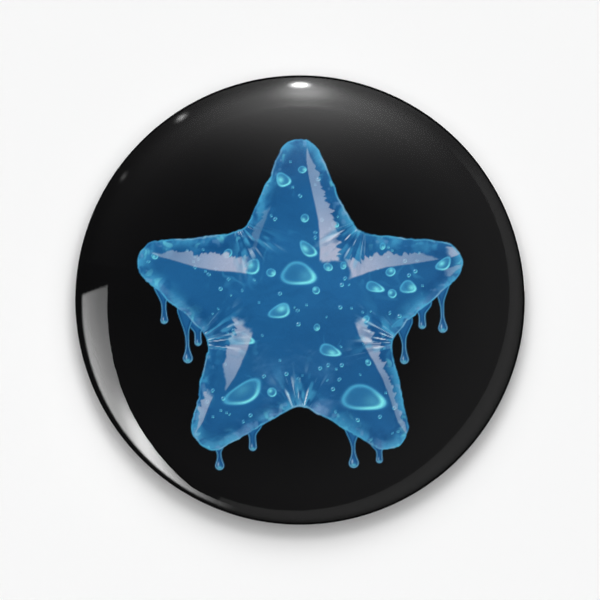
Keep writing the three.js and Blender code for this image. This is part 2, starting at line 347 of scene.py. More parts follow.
PICTURE_PITCH, PICTURE_LIFT, PICTURE_HALF = 0.1, 0.015, 23.0
STAR_Z, STAR_MIDDLE_R, STAR_TIP_R, STAR_TIP_AT = -1.1, 10.1, 2.75, 18.5
STAR_NOTCH_AT = 12.6
BUBBLE_SEED = 44
BUBBLES = ((3, 1.5, 2.1), (9, 0.75, 1.15), (16, 0.36, 0.62), (95, 0.12, 0.27))  # count, then radii
ARMS = [math.radians(90 + 72 * i) for i in range(5)]
NOTCHES = [math.radians(126 + 72 * i) for i in range(5)]

# The gel's colours, in 0 to 255: its body from deep to lit, its bright edges, and what it mirrors.
GEL_DEEP, GEL_BODY, GEL_CYAN = (20, 74, 126), (37, 104, 157), (80, 175, 214)
GEL_MINT, GEL_SHINE, GEL_WHITE = (136, 240, 242), (188, 190, 210), (232, 240, 250)
GEL_PALE, GEL_LIT = (124, 162, 204), (42, 115, 171)

DRIPS = (  # x, top, length, neck radius, drop radius
    (-17.1, 2.5, 4.4, 0.28, 0.48),
    (-14.2, -0.6, 6.2, 0.21, 0.62),
    (-12.8, -1.8, 2.8, 0.36, 0.42),
    (12.9, -1.9, 5.0, 0.24, 0.55),
    (15.2, 0.5, 3.0, 0.36, 0.46),
    (17.7, 3.0, 6.0, 0.20, 0.60),
    (-10.2, -16.6, 3.7, 0.22, 0.58),
    (-6.0, -14.6, 3.2, 0.38, 0.48),
    (6.6, -15.0, 5.0, 0.21, 0.64),
    (9.9, -16.8, 2.6, 0.30, 0.42),
)
SHINES = (  # arm, side, then where it starts and ends along the arm and across it, and its strength
    (0, -1, 0.27, 0.95, 0.34, 0.70, 1.0),
    (0, 1, 0.34, 0.60, 0.72, 0.86, 0.35),
    (1, -1, 0.37, 0.93, 0.26, 0.64, 0.95),
    (2, -1, 0.26, 0.64, 0.34, 0.70, 0.85),
    (2, -1, 0.70, 0.95, 0.52, 0.84, 0.75),
    (3, 1, 0.26, 0.97, 0.60, 0.80, 0.9),
    (4, 1, 0.33, 0.88, 0.24, 0.56, 0.95),
    (4, 1, 0.92, 1.10, 0.10, 0.60, 0.8),
    (4, -1, 0.88, 1.02, 0.30, 0.70, 0.5),
)


def field_noise(x, z, cell, seed):
    """Smooth noise from 0 to 1 over a field, with features of about a cell, in millimetres."""
    lattice = np.random.default_rng(seed).random((256, 256))
    u, v = x / cell + 128, z / cell + 128
    i, j = np.floor(u).astype(int) % 255, np.floor(v).astype(int) % 255
    s, t = u - np.floor(u), v - np.floor(v)
    s, t = s * s * (3 - 2 * s), t * t * (3 - 2 * t)
    low = lattice[i, j] * (1 - s) + lattice[i + 1, j] * s
    high = lattice[i, j + 1] * (1 - s) + lattice[i + 1, j + 1] * s
    return low * (1 - t) + high * t


def cloud(x, z, cell, seed):
    """Three octaves of noise, from 0 to 1, with its lattice bent out of sight."""
    x = x + cell * (field_noise(x, z, cell * 1.3, seed + 7) - 0.5)
    z = z + cell * (field_noise(x, z, cell * 1.1, seed + 8) - 0.5)
    return sum(field_noise(x, z, cell / 2 ** k, seed + k) * w for k, w in enumerate((0.55, 0.29, 0.16)))


def tapered(x, z, start, end, start_r, end_r):
    """How deep each point lies in a tapered bar with round ends, and the bar's radius beside it."""
    axis = np.subtract(end, start)
    length = math.hypot(*axis)
    axis = axis / length
    along = (x - start[0]) * axis[0] + (z - start[1]) * axis[1]
    across = np.abs((z - start[1]) * axis[0] - (x - start[0]) * axis[1])
    lean = (start_r - end_r) / length
    flat = math.sqrt(1 - lean * lean)
    place = (along * flat - across * lean) / (flat * length)
    side = start_r - (across * flat + along * lean)
    first = start_r - np.hypot(along, across)
    last = end_r - np.hypot(along - length, across)
    depth = np.where(place < 0, first, np.where(place > 1, last, side))
    return depth, start_r + (end_r - start_r) * np.clip(place, 0, 1)


def soft_max(fields, sharpness):
    """The largest of some fields at each point, with rounded joins."""
    return np.log(sum(np.exp(np.clip(f * sharpness, -60, 60)) for f in fields)) / sharpness


def blend(colour, other, share):
    """Colours, mixed towards another by a share at each point."""
    return colour + (np.asarray(other, float) - colour) * np.clip(share, 0, 1)[..., None]


def star_form(x, z):
    """The star's depth inside its outline, and its puffed height, in millimetres."""
    wobble = (cloud(x, z, 1.6, 3) - 0.5) * 0.5
    depths, heights = [], []
    for arm in ARMS:
        tip = (STAR_TIP_AT * math.cos(arm), STAR_TIP_AT * math.sin(arm))
        depth, radius = tapered(x, z, (0, 0), tip, STAR_MIDDLE_R, STAR_TIP_R)
        depth = depth + wobble * smooth(depth, 3.0, 0.0)
        depths.append(depth)
        heights.append(np.sqrt(np.clip(depth, 0, None) * np.clip(2 * radius - depth, 0, None)))
    inside = soft_max(depths, 1.6)
    height = soft_max(heights, 0.9) * smooth(inside, 0.0, 1.2) ** 0.5
    around, out = np.arctan2(z, x), np.hypot(x, z)
    for notch in NOTCHES:
        off = out * np.sin(around - notch)
        ahead = out * np.cos(around - notch)
        reach = smooth(ahead, STAR_NOTCH_AT - 8.5, STAR_NOTCH_AT + 1)
        height = height - 1.5 * reach * np.exp(-((off / (0.55 + 0.06 * (STAR_NOTCH_AT - ahead))) ** 2))
        for fold in (-2, -1, 1, 2):
            lean = off - fold * 0.24 * (STAR_NOTCH_AT + 1.4 - ahead)
            close = smooth(ahead, STAR_NOTCH_AT - 4.2, STAR_NOTCH_AT)
            height = height - 0.5 * close * np.exp(-((lean / 0.3) ** 2))
    height = height + 0.9 * (cloud(x, z, 4.5, 21) - 0.5) + 0.3 * (cloud(x, z, 1.5, 31) - 0.5)
    return inside, height


def arm_place(x, z, arm):
    """Where each point lies on an arm: along it from the star's middle to its tip, across it, and how
    wide the arm is there."""
    c, s = math.cos(ARMS[arm]), math.sin(ARMS[arm])
    along, across = (x * c + z * s) / (STAR_TIP_AT + STAR_TIP_R), z * c - x * s
    width = STAR_MIDDLE_R + (STAR_TIP_R - STAR_MIDDLE_R) * np.clip(along * 1.14, 0, 1)
    return along, across / width, width


def mirrored_windows(x, z):
    """How much of the studio's windows the gel mirrors at each point, with torn edges."""
    shine = np.zeros_like(x)
    tear = cloud(x, z, 1.1, 41) - 0.5
    for row, (arm, side, first, last, low, high, strength) in enumerate(SHINES):
        along, across, width = arm_place(x, z, arm)
        comb = field_noise(along * 24, across * side * 1.2, 0.55, 200 + row) - 0.5
        comb = comb + 0.6 * (field_noise(along * 24, across * side, 0.22, 230 + row) - 0.5)
        across = across * side + 0.05 * np.sin(along * 9 + row)
        body = smooth(across + 0.03 * tear, low - 0.015, low + 0.02)
        body = body * smooth(across + 0.16 * comb + 0.05 * tear, high + 0.02, high - 0.02)
        ends = smooth(along + 0.05 * tear, first - 0.01, first + 0.02)
        ends = ends * smooth(along + 0.06 * tear + 0.3 * (across - low), last + 0.015, last - 0.015)
        fade = 0.8 + 0.2 * np.cos((along - first) * 6)
        shine = np.maximum(shine, strength * body * ends * fade)
    return shine


def bubble_places(inside, x, z):
    """Where the bubbles are: x, z, radius, stretch and lean. Big ones first, and none on another."""
    rng = np.random.default_rng(BUBBLE_SEED)
    rows, columns = np.where(inside > 1.1)
    found = []
    for count, low, high in BUBBLES:
        for _ in range(count):
            for _ in range(30):
                pick = rng.integers(len(rows))
                bx, bz = x[rows[pick], columns[pick]], z[rows[pick], columns[pick]]
                radius = rng.uniform(low, high)
                deep = inside[rows[pick], columns[pick]] > radius * 1.6 + 0.3
                if deep and all(math.dist((bx, bz), b[:2]) > radius * 1.2 + b[2] * 1.3 for b in found):
                    stretch = rng.uniform(1.05, 1.7) if radius > 0.6 else rng.uniform(1.0, 1.2)
                    found.append((bx, bz, radius, stretch, rng.uniform(0, math.pi)))
                    break
    return found


def paint_bubbles(colour, x, z, inside):
    """Adds the bubbles: a bright outline, a glow, a lit crescent low on the right, and a highlight."""
    for bx, bz, radius, stretch, lean in bubble_places(inside, x, z):
        near = (np.abs(x - bx) < radius * 2.4) & (np.abs(z - bz) < radius * 2.4)
        dx, dz = (x[near] - bx) / radius, (z[near] - bz) / radius
        c, s = math.cos(lean), math.sin(lean)
        along, across = (dx * c + dz * s) / stretch, (dz * c - dx * s) * math.sqrt(stretch)
        bend = 1 + 0.1 * np.sin(3 * np.arctan2(across, along) + lean * 5) * (radius > 0.6)
        d = np.hypot(along, across) * bend
        within = smooth(d, 1.04, 0.93)
        glow_x, glow_z = along - 0.45 * math.cos(lean * 3), across - 0.3 * math.sin(lean * 3)
        glow = np.exp(-((glow_x / 0.42) ** 2 + (glow_z / 0.5) ** 2))
        big = radius > 1.3
        patch = colour[near]
        patch = blend(patch, GEL_CYAN, (0.28 if big else 0.42) * within)
        patch = blend(patch, GEL_BODY, 0.5 * within * np.exp(-((d / 0.5) ** 2)) * (radius > 0.3))
        patch = blend(patch, GEL_CYAN, 0.85 * np.exp(-(((d - 0.9) / 0.12) ** 2)))
        crescent = np.clip(0.3 + 0.55 * dx - 0.83 * dz, 0, 1) ** 1.5
        crescent = crescent * np.exp(-(((d - 0.82) / 0.13) ** 2))
        patch = blend(patch, GEL_MINT, 0.9 * within * crescent)
        if radius > 0.3:
            patch = blend(patch, GEL_MINT, (0.25 if big else 0.8) * within * glow)
        else:
            patch = blend(patch, GEL_WHITE, 0.9 * np.exp(-((dx + 0.3) ** 2 + (dz - 0.35) ** 2) / 0.05))
        colour[near] = patch
    return colour


def paint_drips(colour, cover, x, z):
    """Adds the drips under the star: a root that runs into a thread, with a bead on its end."""
    for dx, top, length, neck, drop in DRIPS:
        end = (dx + 0.03 * length, top - length + drop)
        thread, _ = tapered(x, z, (dx, top), end, neck * 1.3, neck)
        bead, _ = tapered(x, z, (end[0] - 0.02, end[1] + 2.1 * drop), end, neck * 0.8, drop)
        root, _ = tapered(x, z, (dx, top + 0.4), (dx, top - 0.42 * length), 0.95 + neck, neck * 0.7)
        depth = soft_max([thread, bead, root], 11.0)
        shape = smooth(depth, -0.05, 0.07) * (1 - cover)
        edge = np.exp(-(((depth - 0.07) / 0.08) ** 2))
        tint = np.broadcast_to(np.asarray(GEL_DEEP, float), colour.shape)
        tint = blend(tint, GEL_BODY, smooth(depth, 0.1, 0.5) * 0.8)
        tint = blend(tint, GEL_CYAN, 0.7 * edge)
        fall = smooth(z, top, end[1])
        tint = blend(tint, GEL_SHINE, 0.35 * edge * fall)
        low_x, low_z = (x - end[0]) / (0.6 * drop), (z - end[1] + 0.45 * drop) / (0.35 * drop)
        low = np.exp(-(low_x ** 2) - low_z ** 2)
        tint = blend(tint, GEL_MINT, 0.6 * low)
        spot_x, spot_z = (x - end[0] + 0.3 * drop) / (0.16 * drop), (z - end[1] - 0.3 * drop) / (0.5 * drop)
        spot = np.exp(-(spot_x ** 2) - spot_z ** 2)
        tint = blend(tint, GEL_WHITE, 0.7 * spot)
        colour = colour * (1 - shape[..., None]) + tint * shape[..., None]
        cover = np.maximum(cover, smooth(depth, -0.05, 0.07))
    return colour, cover


def paint_notches(colour, x, z, inside):
    """Adds the creases that fan out from where two arms meet: dark folds, bright ones and fine threads."""
    around, out = np.arctan2(z, x), np.hypot(x, z)
    for k, notch in enumerate(NOTCHES):
        off, ahead = out * np.sin(around - notch), out * np.cos(around - notch)
        fan = off / np.maximum(STAR_NOTCH_AT + 1.6 - ahead, 0.5)
        close = smooth(ahead, STAR_NOTCH_AT - 6.5, STAR_NOTCH_AT - 1.0) * smooth(np.abs(fan), 0.8, 0.3)
        close = close * smooth(inside, 0.02, 0.3)
        dark = smooth(field_noise(fan * 7, ahead * 0.5, 0.6, 93 + k), 0.45, 0.8)
        colour = blend(colour, GEL_DEEP, 0.55 * close * dark)
        bright = smooth(field_noise(fan * 6, ahead * 0.5, 0.6, 97 + k), 0.45, 0.8)
        colour = blend(colour, GEL_CYAN, 0.75 * close * bright)
        threads = smooth(field_noise(fan * 8, ahead * 0.28, 0.5, 91 + k), 0.66, 0.9)
        colour = blend(colour, GEL_WHITE, 0.9 * close * threads)
    return colour


def paint_body(x, z, inside, height, nx, nz):
    """The gel itself: clouds, pale undersides, wisps, and a bright rim with a darker band inside it."""
    colour = np.broadcast_to(np.asarray(GEL_DEEP, float), (*x.shape, 3))
    colour = blend(colour, GEL_BODY, 0.72 + 0.5 * (cloud(x, z, 7.5, 61) - 0.5) + 0.2 * nz)
    rim = smooth(inside, 2.6, 0.0)
    under = smooth(-nz, 0.25, 0.95) * smooth(cloud(x, z, 2.6, 66), 0.25, 0.8)
    colour = blend(colour, GEL_PALE, 0.75 * under)
    wisps = smooth(np.abs(cloud(x, z, 3.4, 71) - 0.5), 0.05, 0.0) * smooth(cloud(x, z, 5.5, 73), 0.5, 0.75)
    colour = blend(colour, GEL_CYAN, 0.4 * wisps)
    colour = blend(colour, GEL_CYAN, 0.75 * rim * smooth(cloud(x, z, 1.5, 81), 0.32, 0.66))
    colour = blend(colour, GEL_MINT, 0.5 * rim * smooth(cloud(x, z, 1.1, 85), 0.66, 0.8))
    band = np.exp(-(((inside - 1.5) / 0.8) ** 2)) * smooth(cloud(x, z, 3.1, 87), 0.25, 0.6)
    colour = blend(colour, GEL_DEEP, 0.55 * band)
    return blend(colour, GEL_LIT, 0.30 * smooth(height, 5.0, 10.0) * smooth(nz, -0.3, 0.3)), rim


def star_picture(x, z):
    """The picture's colour at each point, in 0 to 255, and how far it covers the black ground."""
    z = z - STAR_Z
    inside, height = star_form(x, z)
    slope_z, slope_x = np.gradient(height * 0.62, PICTURE_PITCH)
    norm = np.sqrt(slope_x ** 2 + slope_z ** 2 + 1)
    nx, nz = -slope_x / norm, -slope_z / norm
    colour, rim = paint_body(x, z, inside, height, nx, nz)
    colour = paint_bubbles(colour, x, z, inside)
    folds = smooth(field_noise(x, z, 0.6, 89) + 0.5 * (np.hypot(nx, nz) - 0.8), 0.72, 0.95)
    colour = blend(colour, GEL_PALE, 0.5 * folds * rim)
    colour = blend(colour, GEL_SHINE, 0.93 * mirrored_windows(x, z))
    colour = paint_notches(colour, x, z, inside)
    edge = np.exp(-(((inside - 0.1) / 0.1) ** 2))
    colour = blend(colour, GEL_CYAN, edge * (0.35 + 0.6 * smooth(cloud(x, z, 1.7, 131), 0.3, 0.7)))
    colour = blend(colour, GEL_SHINE, 0.45 * edge * smooth(cloud(x, z, 2.2, 137), 0.5, 0.75))
    cover = smooth(inside, -0.05, 0.07)
    return paint_drips(colour, cover, x, z)


def to_linear(colour):
    """Screen colours in 0 to 255 as light."""
    value = np.clip(colour / 255, 0, 1)
    return np.where(value < 0.04045, value / 12.92, ((value + 0.055) / 1.055) ** 2.4)


def star_print():
    """The picture as a fine patch of ink on the paper's dome, only where it differs from the ground."""
    steps = int(2 * PICTURE_HALF / PICTURE_PITCH) + 1
    side = np.linspace(-PICTURE_HALF, PICTURE_HALF, steps)
    x, z = np.meshgrid(side, side)
    colour, cover = star_picture(x, z)
    shown = to_linear(colour) * cover[..., None] + np.asarray(PRINT_BLACK) * (1 - cover[..., None])
    used = cover > 0.002
    for axis in (0, 1):
        used = used | np.roll(used, 1, axis) | np.roll(used, -1, axis)
    cells = used[:-1, :-1] & used[1:, :-1] & used[:-1, 1:] & used[1:, 1:]
    rows, columns = np.where(cells)
    corners = np.stack([rows * steps + columns, rows * steps + columns + 1,
                        (rows + 1) * steps + columns + 1, (rows + 1) * steps + columns], 1)
    kept, faces = np.unique(corners, return_inverse=True)
    faces = faces.reshape(corners.shape)
    ball = DOME_R - print_inset + PICTURE_LIFT
    px, pz = x.ravel()[kept], z.ravel()[kept]
    depth = DOME_R - np.sqrt(ball ** 2 - px ** 2 - pz ** 2) - HALF_DEPTH
    points = np.stack([px, depth, pz], 1)
    obj = make("star", points.tolist(), faces.tolist(), ink_material("ink_star", "picture"), 180.0)
    attribute = obj.data.color_attributes.new("picture", "FLOAT_COLOR", "POINT")
    rgba = np.concatenate([shown.reshape(-1, 3)[kept], np.ones((len(kept), 1))], 1)
    attribute.data.foreach_set("color", rgba.astype(np.float32).ravel())
    return obj


star = star_print()
stands_for(star, "badge", "print")


# ---------------- the back plate

def sheet(face, thickness):
    """A closed outline: a face, and the same face moved to its left by a thickness, with mitred corners."""
    points = [Vector(p) for p in face]
    moved = []
    for i, point in enumerate(points):
        before = points[i - 1] if i else point * 2 - points[1]
        after = points[i + 1] if i + 1 < len(points) else point * 2 - before
        sides = [Vector((-(e.y), e.x)).normalized() for e in (point - before, after - point)]
        mitre = (sides[0] + sides[1]).normalized()
        moved.append(tuple(point + mitre * thickness / mitre.dot(sides[0])))
    return list(face) + moved[::-1]


def rounded(points, radius, steps=5):
    """A polyline with each inner corner replaced by an arc-like curve of about a radius."""
    result = [points[0]]
    for a, b, c in zip(points, points[1:], points[2:]):
        a, b, c = Vector(a), Vector(b), Vector(c)
        back, on = (a - b).normalized(), (c - b).normalized()
        reach = radius / max(math.tan(back.angle(on) / 2), 0.3)
        reach = min(reach, (a - b).length / 2, (c - b).length / 2)
        start, end = b + back * reach, b + on * reach
        for i in range(steps + 1):
            t = i / steps
            result.append(tuple(start.lerp(b, t).lerp(b.lerp(end, t), t)))
    return result + [points[-1]]


def plate_section():
    """The plate's rear face, from its middle over the step and the shelf to the edge that bites the hem."""
    hem_x = BADGE_R - HEM_OUTER_R - HEM_FLAT - HEM_INNER_R
    edge_x = hem_x - EDGE_GAP - EDGE_R
    edge_y = DEPTH - EDGE_BELOW_HEM - EDGE_R
    wall_x = edge_x - EDGE_R
    shelf_y = FLOOR_Y + SHELF_RISE
    step = rounded([(STEP_R - 1, FLOOR_Y), (STEP_R, FLOOR_Y), (STEP_R + SHELF_RISE, shelf_y),
                    (STEP_R + SHELF_RISE + 1, shelf_y)], STEP_BEND_R)
    return chain(
        [(0, FLOOR_Y)],
        step,
        arc(wall_x - PLATE_FILLET_R, shelf_y + PLATE_FILLET_R, PLATE_FILLET_R, 0, 90, FILLET_STEPS),
        arc(edge_x, edge_y, EDGE_R, 270, 90, EDGE_STEPS),
        [(edge_x + EDGE_R, edge_y - EDGE_R)],
    )


def box_tool(low, high):
    """A box that cuts another piece, from corner to corner in millimetres."""
    points = [(x, y, z) for x in (low[0], high[0]) for y in (low[1], high[1]) for z in (low[2], high[2])]
    faces = [[0, 1, 3, 2], [4, 6, 7, 5], [0, 4, 5, 1], [2, 3, 7, 6], [0, 2, 6, 4], [1, 5, 7, 3]]
    return make("tool", points, faces, tinplate, 0.0)


def cut(obj, tool):
    """Cuts a piece by a tool, and deletes the tool."""
    modifier = obj.modifiers.new("cut", "BOOLEAN")
    modifier.object, modifier.operation, modifier.solver = tool, "DIFFERENCE", "EXACT"
    apply_modifiers(obj)
    bpy.data.objects.remove(tool, do_unlink=True)


def apply_modifiers(obj):
    """Makes what a piece's modifiers show its own mesh."""
    graph = bpy.context.evaluated_depsgraph_get()
    done = bpy.data.meshes.new_from_object(obj.evaluated_get(graph))
    obj.modifiers.clear()
    obj.data = done


def bevel(obj, width):
    """Breaks a piece's sharp edges."""
    modifier = obj.modifiers.new("bevel", "BEVEL")
    modifier.width, modifier.segments = width * MM, 2
    modifier.limit_method, modifier.angle_limit = "ANGLE", math.radians(35)
    modifier.harden_normals = False
    apply_modifiers(obj)
    obj.data.shade_smooth()
    obj.data.set_sharp_from_angle(angle=math.radians(50))


def strap_mesh(x):
    """One lanced strap: a strip of the plate bent up over the pin's fixed leg."""
    outer = WIRE_R + STRAP_CLEARANCE + TIN_T
    crown = arc(0, AXIS_RISE, outer, 270, 90, CROWN_STEPS)
    up = [(-STRAP_FOOT_OUT, -STRAP_SINK), (-STRAP_FOOT_IN, -STRAP_SINK), crown[0]]
    down = [crown[-1], (STRAP_FOOT_IN, -STRAP_SINK), (STRAP_FOOT_OUT, -STRAP_SINK)]
    face = chain(rounded(up, STRAP_BEND_R), crown, rounded(down, STRAP_BEND_R))
    outline = sheet(face, -TIN_T)
    count = len(outline)
    points = []
    for side in (-STRAP_WIDTH / 2, STRAP_WIDTH / 2):
        points += [(x + side, FLOOR_Y - HALF_DEPTH + h, PIN_ORIGIN.z - across) for across, h in outline]
    faces = [[i, (i + 1) % count, count + (i + 1) % count, count + i] for i in range(count)]
    faces += [list(range(count))[::-1], list(range(count, 2 * count))]
    return points, faces


def fix_normals(obj):
    """Turns a closed piece's faces outward."""
    mesh = bmesh.new()
    mesh.from_mesh(obj.data)
    bmesh.ops.recalc_face_normals(mesh, faces=mesh.faces)
    mesh.to_mesh(obj.data)
    mesh.free()


plate_outline = sheet(plate_section(), -TIN_T)
plate_outline[-1] = (0, plate_outline[-1][1])
back_plate = make("plate", *lathe_mesh(plate_outline), tinplate)
fix_normals(back_plate)
for side in (-1, 1):
    middle, half = side * STRAP_X, STRAP_WIDTH / 2
    low = (middle - half, FLOOR_Y - HALF_DEPTH - TO_CUT_THROUGH, PIN_ORIGIN.z - STRAP_SLOT)
    high = (middle + half, FLOOR_Y - HALF_DEPTH + TO_CUT_THROUGH, PIN_ORIGIN.z + STRAP_SLOT)
    cut(back_plate, box_tool(low, high))
back_plate.data.shade_smooth()
back_plate.data.set_sharp_from_angle(angle=math.radians(40))
stands_for(back_plate, "badge", "tinplate_back", "back_plate")
straps = []
for name, side in (("strap_coil_side", -1), ("strap_cap_side", 1)):
    strap = make(name, *strap_mesh(side * STRAP_X), tinplate)
    fix_normals(strap)
    bevel(strap, BROKEN_EDGE)
    stands_for(strap, "badge", "tinplate_back")
    straps.append(strap)


# ---------------- the safety pin

def wire_path():
    """The pin's wire, in its own frame: from inside the cap, round the coil and out to the point."""
    rise, turn = COIL_TURNS * COIL_PITCH, COIL_TURNS * 2 * math.pi
    path = [Vector((x, -rise / 2 * smooth(-x, -BEND_X, -COIL_X), 0))
            for x in np.linspace(FIXED_END_X, COIL_X, FIXED_POINTS)]
    for angle in np.linspace(0, turn, COIL_POINTS)[1:]:
        path.append(Vector((COIL_X - COIL_R * math.sin(angle), rise * (angle / turn - 0.5),
                            COIL_R * (math.cos(angle) - 1))))
    for x in np.linspace(COIL_X, TIP_X, LEG_POINTS)[1:]:
        share = (x - COIL_X) / (TIP_X - COIL_X)
        path.append(Vector((x, rise / 2 * (1 - share), -LEG_SPACING)))
    return path


def wire_radius(i, path):
    """Full wire, rounded at the cut end in the cap and ground to a point at the other."""
    to_tip = (path[-1] - path[i]).length
    from_cut = (path[0] - path[i]).length
    blunt = min(1.0, 0.55 + from_cut / 0.3)
    point = min(1.0, max(to_tip / POINT_LENGTH, 0.012) ** 0.8)
    return WIRE_R * min(blunt, point)


def sweep(path, radius, sides=WIRE_SIDES):
    """The points of a round tube along a path, one ring after another, which don't twist."""
    points = []
    across = Vector((0, 1, 0))
    for i, here in enumerate(path):
        along = (path[min(i + 1, len(path) - 1)] - path[max(i - 1, 0)]).normalized()
        across = (across - along * across.dot(along)).normalized()
        up = along.cross(across)
        for k in range(sides):
            a = 2 * math.pi * k / sides
            points.append(here + (across * math.cos(a) + up * math.sin(a)) * radius(i, path))
    return points


def tube(name, points, material, sides=WIRE_SIDES):
    """A tube through rings of points, in the pin's frame, with closed ends."""
    faces = []
    for first in range(0, len(points) - sides, sides):
        for k in range(sides):
            j = (k + 1) % sides
            faces.append([first + k, first + j, first + sides + j, first + sides + k])
    faces += [list(range(sides))[::-1], list(range(len(points) - sides, len(points)))]
    obj = make(name, [p + PIN_ORIGIN for p in points], faces, material, 60.0)
    fix_normals(obj)
    return obj


BLEND_RINGS = 12  # how many of the coil's last rings belong to the leg

path = wire_path()
rings = sweep(path, wire_radius)
leg_start = WIRE_SIDES * (len(path) - (LEG_POINTS - 1) - BLEND_RINGS)
wire = tube("pin", rings[:leg_start + WIRE_SIDES], nickel_wire)
stands_for(wire, "safety_pin", "spring_wire", "pin_wire")
leg = tube("point_leg", rings[leg_start:], nickel_wire)
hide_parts("pin_leg")
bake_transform(leg)


# ---------------- the pin's cap

def cap_outline(mouth_x, inset, steps=CORNER_STEPS):
    """The cap's outline in x and z, from its mouth round its closed end."""
    centre_x = CAP_END_X - CAP_CORNER_R
    top, bottom = CAP_ABOVE_AXIS, -LEG_SPACING - WIRE_R - POCKET_SIDE_GAP - CAP_WALL
    radius = CAP_CORNER_R - inset
    low = [(x, -y) for x, y in arc(centre_x, -(bottom + CAP_CORNER_R), radius, 180, 90, steps)]
    high = [(x, -y) for x, y in arc(centre_x, -(top - CAP_CORNER_R), radius, 90, 0, steps)]
    return [(mouth_x, bottom + inset)] + low + high + [(mouth_x, top - inset)]


def pillow(name, mouth_x, inset, half_height, edge, steps=6):
    """A slab with the cap's outline, whose upper and lower edges are rounded."""
    points, faces, rings = [], [], []
    for i in range(2 * steps + 2):
        upper = i > steps
        turn = (i - 1 if upper else i) / steps * 90
        pull = edge * (1 - math.cos(math.radians(turn - 90)))
        lift = edge * math.sin(math.radians(turn - 90)) + (half_height - edge) * (1 if upper else -1)
        ring = cap_outline(mouth_x, inset + pull)
        rings.append(range(len(points), len(points) + len(ring)))
        points += [PIN_ORIGIN + Vector((x, lift, z)) for x, z in ring]
    count = len(rings[0])
    for a, b in zip(rings, rings[1:]):
        for i in range(count):
            j = (i + 1) % count
            faces.append([a[i], a[j], b[j], b[i]])
    faces += [list(rings[0])[::-1], list(rings[-1])]
    obj = make(name, points, faces, nickel_sheet, 40.0)
    fix_normals(obj)
    return obj


def round_tool(start, end, radius, sides=32):
    """A cylinder that cuts another piece, in the pin's frame."""
    points = sweep([Vector(start), Vector(end)], lambda i, path: radius, sides)
    return tube("tool", points, nickel_sheet, sides)


def pin_box(low, high):
    """A box that cuts another piece, in the pin's frame."""
    return box_tool(tuple(Vector(low) + PIN_ORIGIN), tuple(Vector(high) + PIN_ORIGIN))


half_cap = POCKET_HALF_HEIGHT + CAP_WALL
mouth = CAP_MOUTH_X - CUT_BEYOND_MOUTH
lip_z = -LEG_SPACING - LIP_FROM_LEG
cap = pillow("cap", CAP_MOUTH_X, 0, half_cap, CAP_EDGE_R)
pocket = pillow("pocket", mouth, CAP_WALL, POCKET_HALF_HEIGHT, POCKET_EDGE_R)
slot = pillow("slot", mouth, CAP_WALL, 3 * half_cap, 0.01)
beyond = (FAR_OUTSIDE, FAR_OUTSIDE, FAR_OUTSIDE)
below = (-FAR_OUTSIDE, -FAR_OUTSIDE, -FAR_OUTSIDE)
cut(pocket, pin_box((-FAR_OUTSIDE, -FAR_OUTSIDE, POCKET_TOP_Z), beyond))
cut(slot, pin_box((-FAR_OUTSIDE, -FAR_OUTSIDE, POCKET_TOP_Z), beyond))
cut(slot, pin_box(below, (FAR_OUTSIDE, FAR_OUTSIDE, lip_z)))
cut(slot, pin_box(below, (FAR_OUTSIDE, 0, FAR_OUTSIDE)))
cut(cap, pocket)
cut(cap, slot)
cut(cap, round_tool((mouth, 0, 0), (FIXED_END_X + POCKET_SIDE_GAP, 0, 0), WIRE_R + CRIMP_GAP))
for height in (-half_cap - GROOVE_RISE, half_cap + GROOVE_RISE):
    groove = round_tool((mouth, height, GROOVE_Z), (2 * CAP_END_X, height, GROOVE_Z), GROOVE_R, 20)
    cut(cap, groove)
bevel(cap, BROKEN_EDGE)
stands_for(cap, "safety_pin", "cap_steel", "pin_cap")


# ---------------- camera, stage and light

LENS, SENSOR = 85.0, 36.0
RIM_SHARE = 0.7494  # the rim's radius, as a share of half the frame

camera_data = bpy.data.cameras.new("camera")
camera_data.lens, camera_data.sensor_width = LENS, SENSOR
camera = bpy.data.objects.new("camera", camera_data)
bpy.context.collection.objects.link(camera)
rim_angle = math.atan(RIM_SHARE * SENSOR / 2 / LENS)
rim_to_camera = (SHOULDER_X * math.cos(rim_angle) + SHOULDER_R) / math.sin(rim_angle)
CAMERA_Y = SHOULDER_Y - HALF_DEPTH - rim_to_camera
camera.location = (0, CAMERA_Y * MM, 0)
camera.rotation_euler = (math.radians(90), 0, 0)
bpy.context.scene.camera = camera


def film_views():
    """Steps over the film's face: the share of the radius where the camera sees each, its radius and
    depth, and the angle from the axis of what it mirrors."""
    rows = []
    for slope in np.linspace(0, 89, 1781):
        a = math.radians(slope)
        ball = (0, DOME_R, DOME_R) if slope < DOME_SLOPE else (SHOULDER_X, SHOULDER_Y, SHOULDER_R)
        radius = ball[0] + ball[2] * math.sin(a)
        depth = ball[1] - ball[2] * math.cos(a) - HALF_DEPTH
        seen = math.atan(radius / (depth - CAMERA_Y))
        rows.append((math.tan(seen) / math.tan(rim_angle), radius, depth, 2 * slope + math.degrees(seen)))
    return np.array(rows[:int(np.argmax([row[0] for row in rows])) + 1]).T


FILM_VIEWS = film_views()


def emission_material(name):
    """Light from a card that adds to what is behind it, with its brightness painted on its points."""
    g = Graph(name)
    glow = g.node("Attribute", attribute_name="glow").outputs["Fac"]
    light = g.node("Emission", {"Color": (1, 1, 1, 1), "Strength": glow}).outputs[0]
    clear = g.node("BsdfTransparent", {"Color": (1, 1, 1, 1)}).outputs[0]
    return g.finish(g.node("AddShader", {0: light, 1: clear}).outputs[0])


# How far the cards stand from the film. Each stands a little further than the last, so that none touch.
FAR, NEAR, CARD_GAP = 600.0, 1.5, 0.3
cards = []


